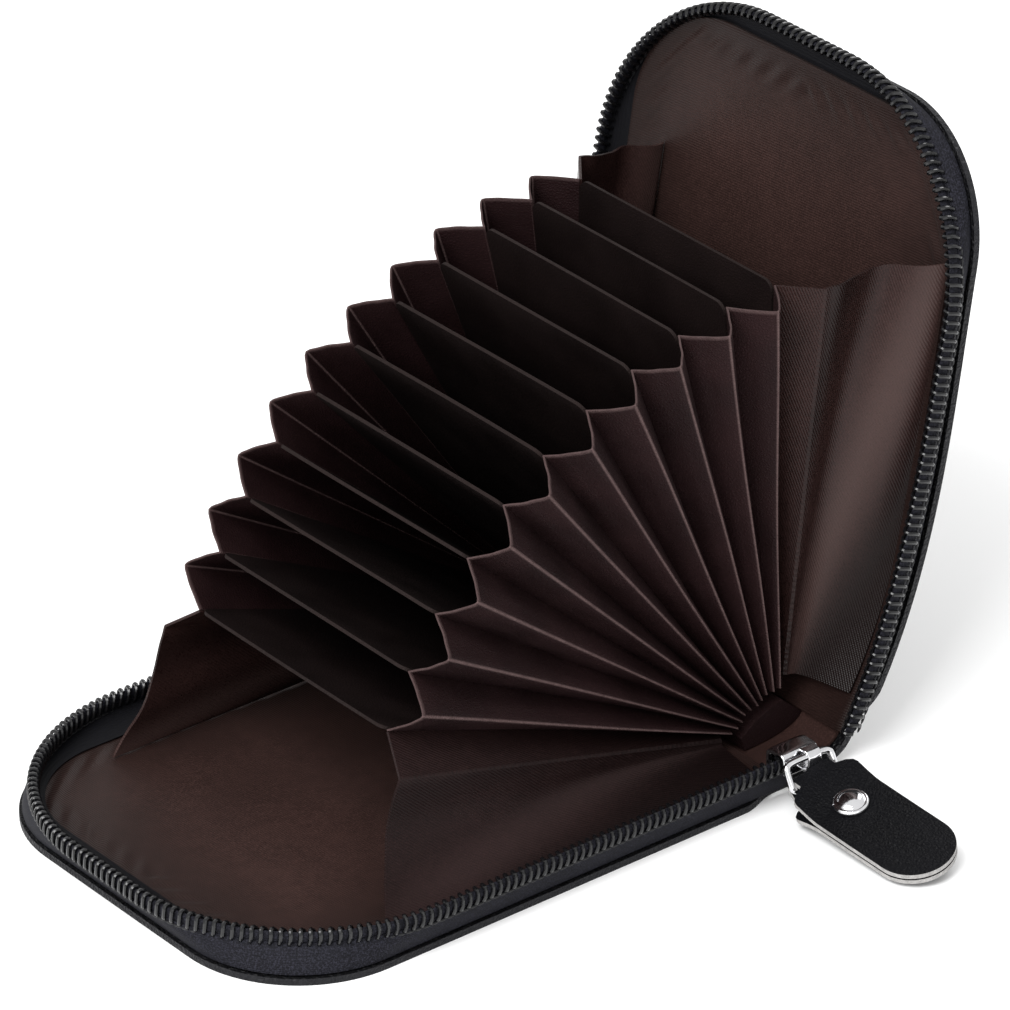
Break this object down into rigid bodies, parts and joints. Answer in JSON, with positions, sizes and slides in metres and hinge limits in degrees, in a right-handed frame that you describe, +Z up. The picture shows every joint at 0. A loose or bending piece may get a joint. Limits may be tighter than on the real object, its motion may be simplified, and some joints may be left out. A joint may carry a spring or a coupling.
{
  "type": "zip card wallet",
  "caption": "Zip-around leather card wallet standing open, with a fanned accordion of card pockets between its covers, a coil zip on both rims and a leather pull tab.",
  "frame": {"origin": "middle of the lower cover's rest face, on the table", "axes": "+Z up; Y along the spine, the slider on the -Y side; the lower cover runs to -X of the spine, and the upper cover stands at +X"},
  "size_m": [0.1482, 0.1211, 0.1085],
  "materials": {
    "outer_leather": "fine grain, soft sheen",
    "stiffener_board": "matte",
    "ribbed_lining": "fine ribs, soft sheen",
    "zip_tape": "matte weave",
    "zip_coil": "gloss",
    "bound_edge": "matte",
    "leaf_leather": "matte",
    "pleat_leather": "satin, worn folds",
    "end_wall": "twill",
    "chrome": "polished",
    "tab_leather": "fine grain, pale cut edge"
  },
  "bodies": {
    "lower_cover": {"lower_leather": "outer_leather", "lower_board": "stiffener_board", "lower_lining": "ribbed_lining", "lower_zip_tape": "zip_tape", "lower_zip_coil": "zip_coil", "lower_top_stop": "chrome", "lower_gusset_near": "end_wall", "lower_gusset_far": "end_wall"},
    "spine": {"spine_leather": "outer_leather", "spine_lining": "ribbed_lining", "accordion_base": "bound_edge"},
    "upper_cover": {"upper_leather": "outer_leather", "upper_board": "stiffener_board", "upper_lining": "ribbed_lining", "upper_zip_tape": "zip_tape", "upper_zip_coil": "zip_coil", "upper_top_stop": "chrome", "upper_gusset_near": "end_wall", "upper_gusset_far": "end_wall"},
    "slider": {"slider_body": "chrome", "slider_crown": "chrome"},
    "ring": {"pull_ring": "chrome"},
    "tab": {"pull_tab": "tab_leather", "tab_rivet": "chrome"},
    "leaf_0": {"divider_0": "leaf_leather"},
    "leaf_1": {"divider_1": "leaf_leather", "gusset_near_0": "pleat_leather", "gusset_far_0": "pleat_leather"},
    "leaf_2": {"divider_2": "leaf_leather", "gusset_near_1": "pleat_leather", "gusset_far_1": "pleat_leather"},
    "leaf_3": {"divider_3": "leaf_leather", "gusset_near_2": "pleat_leather", "gusset_far_2": "pleat_leather"},
    "leaf_4": {"divider_4": "leaf_leather", "gusset_near_3": "pleat_leather", "gusset_far_3": "pleat_leather"},
    "leaf_5": {"divider_5": "leaf_leather", "gusset_near_4": "pleat_leather", "gusset_far_4": "pleat_leather", "gusset_near_5": "pleat_leather", "gusset_far_5": "pleat_leather"},
    "leaf_6": {"divider_6": "leaf_leather", "gusset_near_6": "pleat_leather", "gusset_far_6": "pleat_leather"},
    "leaf_7": {"divider_7": "leaf_leather", "gusset_near_7": "pleat_leather", "gusset_far_7": "pleat_leather"},
    "leaf_8": {"divider_8": "leaf_leather", "gusset_near_8": "pleat_leather", "gusset_far_8": "pleat_leather"},
    "leaf_9": {"divider_9": "leaf_leather", "gusset_near_9": "pleat_leather", "gusset_far_9": "pleat_leather"},
    "leaf_10": {"divider_10": "leaf_leather"}
  },
  "joints": [
    {"name": "spine_fold", "type": "hinge", "parent": "lower_cover", "child": "spine", "pos_m": [0.05075, 0, 0.0012], "axis": [0, -1, 0], "range_deg": [0, 72.3], "deforming": ["lower_gusset_near", "lower_gusset_far"]},
    {"name": "upper_fold", "type": "hinge", "parent": "spine", "child": "upper_cover", "pos_m": [0.06704, 0, 0.0064], "axis": [0, -1, 0], "range_deg": [0, 32.7], "deforming": ["upper_gusset_near", "upper_gusset_far"]},
    {"name": "leaf_5_fold", "type": "hinge", "parent": "spine", "child": "leaf_5", "pos_m": [0.05645, 0, 0.008], "axis": [0, -1, 0], "range_deg": [-16.81, 0]},
    {"name": "leaf_4_fold", "type": "hinge", "parent": "leaf_5", "child": "leaf_4", "pos_m": [0.05555, 0, 0.00756], "axis": [0, -1, 0], "range_deg": [-7.11, 0], "deforming": ["gusset_near_4", "gusset_far_4"]},
    {"name": "leaf_3_fold", "type": "hinge", "parent": "leaf_4", "child": "leaf_3", "pos_m": [0.05468, 0, 0.00707], "axis": [0, -1, 0], "range_deg": [-7.11, 0], "deforming": ["gusset_near_3", "gusset_far_3"]},
    {"name": "leaf_2_fold", "type": "hinge", "parent": "leaf_3", "child": "leaf_2", "pos_m": [0.05385, 0, 0.00652], "axis": [0, -1, 0], "range_deg": [-7.11, 0], "deforming": ["gusset_near_2", "gusset_far_2"]},
    {"name": "leaf_1_fold", "type": "hinge", "parent": "leaf_2", "child": "leaf_1", "pos_m": [0.05305, 0, 0.00592], "axis": [0, -1, 0], "range_deg": [-7.11, 0], "deforming": ["gusset_near_1", "gusset_far_1"]},
    {"name": "leaf_0_fold", "type": "hinge", "parent": "leaf_1", "child": "leaf_0", "pos_m": [0.05228, 0, 0.00527], "axis": [0, -1, 0], "range_deg": [-7.11, 0], "deforming": ["gusset_near_0", "gusset_far_0"]},
    {"name": "leaf_6_fold", "type": "hinge", "parent": "leaf_5", "child": "leaf_6", "pos_m": [0.05735, 0, 0.00844], "axis": [0, -1, 0], "range_deg": [0, 7.11], "deforming": ["gusset_near_5", "gusset_far_5"]},
    {"name": "leaf_7_fold", "type": "hinge", "parent": "leaf_6", "child": "leaf_7", "pos_m": [0.05827, 0, 0.00882], "axis": [0, -1, 0], "range_deg": [0, 7.11], "deforming": ["gusset_near_6", "gusset_far_6"]},
    {"name": "leaf_8_fold", "type": "hinge", "parent": "leaf_7", "child": "leaf_8", "pos_m": [0.05922, 0, 0.00915], "axis": [0, -1, 0], "range_deg": [0, 7.11], "deforming": ["gusset_near_7", "gusset_far_7"]},
    {"name": "leaf_9_fold", "type": "hinge", "parent": "leaf_8", "child": "leaf_9", "pos_m": [0.06018, 0, 0.00941], "axis": [0, -1, 0], "range_deg": [0, 7.11], "deforming": ["gusset_near_8", "gusset_far_8"]},
    {"name": "leaf_10_fold", "type": "hinge", "parent": "leaf_9", "child": "leaf_10", "pos_m": [0.06116, 0, 0.00962], "axis": [0, -1, 0], "range_deg": [0, 7.11], "deforming": ["gusset_near_9", "gusset_far_9"]},
    {"name": "slider_run", "type": "slide", "parent": "lower_cover", "child": "slider", "axis": [-1, 0, 0], "range_m": [0, 0.06]},
    {"name": "ring_swing", "type": "hinge", "parent": "slider", "child": "ring", "pos_m": [0.05245, -0.04525, 0.0092], "axis": [-1, 0, 0], "range_deg": [-8, 80]},
    {"name": "tab_swing", "type": "hinge", "parent": "ring", "child": "tab", "pos_m": [0.05245, -0.04755, 0.00522], "axis": [-1, 0, 0], "range_deg": [-40, 15]}
  ],
  "couplings": [
    {"joint": "upper_fold", "follows": "spine_fold", "ratio": 0.45228},
    {"joint": "leaf_5_fold", "follows": "spine_fold", "ratio": -0.23236},
    {"joint": "leaf_4_fold", "follows": "spine_fold", "ratio": -0.098202},
    {"joint": "leaf_3_fold", "follows": "spine_fold", "ratio": -0.098202},
    {"joint": "leaf_2_fold", "follows": "spine_fold", "ratio": -0.098202},
    {"joint": "leaf_1_fold", "follows": "spine_fold", "ratio": -0.098202},
    {"joint": "leaf_0_fold", "follows": "spine_fold", "ratio": -0.098202},
    {"joint": "leaf_6_fold", "follows": "spine_fold", "ratio": 0.098202},
    {"joint": "leaf_7_fold", "follows": "spine_fold", "ratio": 0.098202},
    {"joint": "leaf_8_fold", "follows": "spine_fold", "ratio": 0.098202},
    {"joint": "leaf_9_fold", "follows": "spine_fold", "ratio": 0.098202},
    {"joint": "leaf_10_fold", "follows": "spine_fold", "ratio": 0.098202}
  ]
}
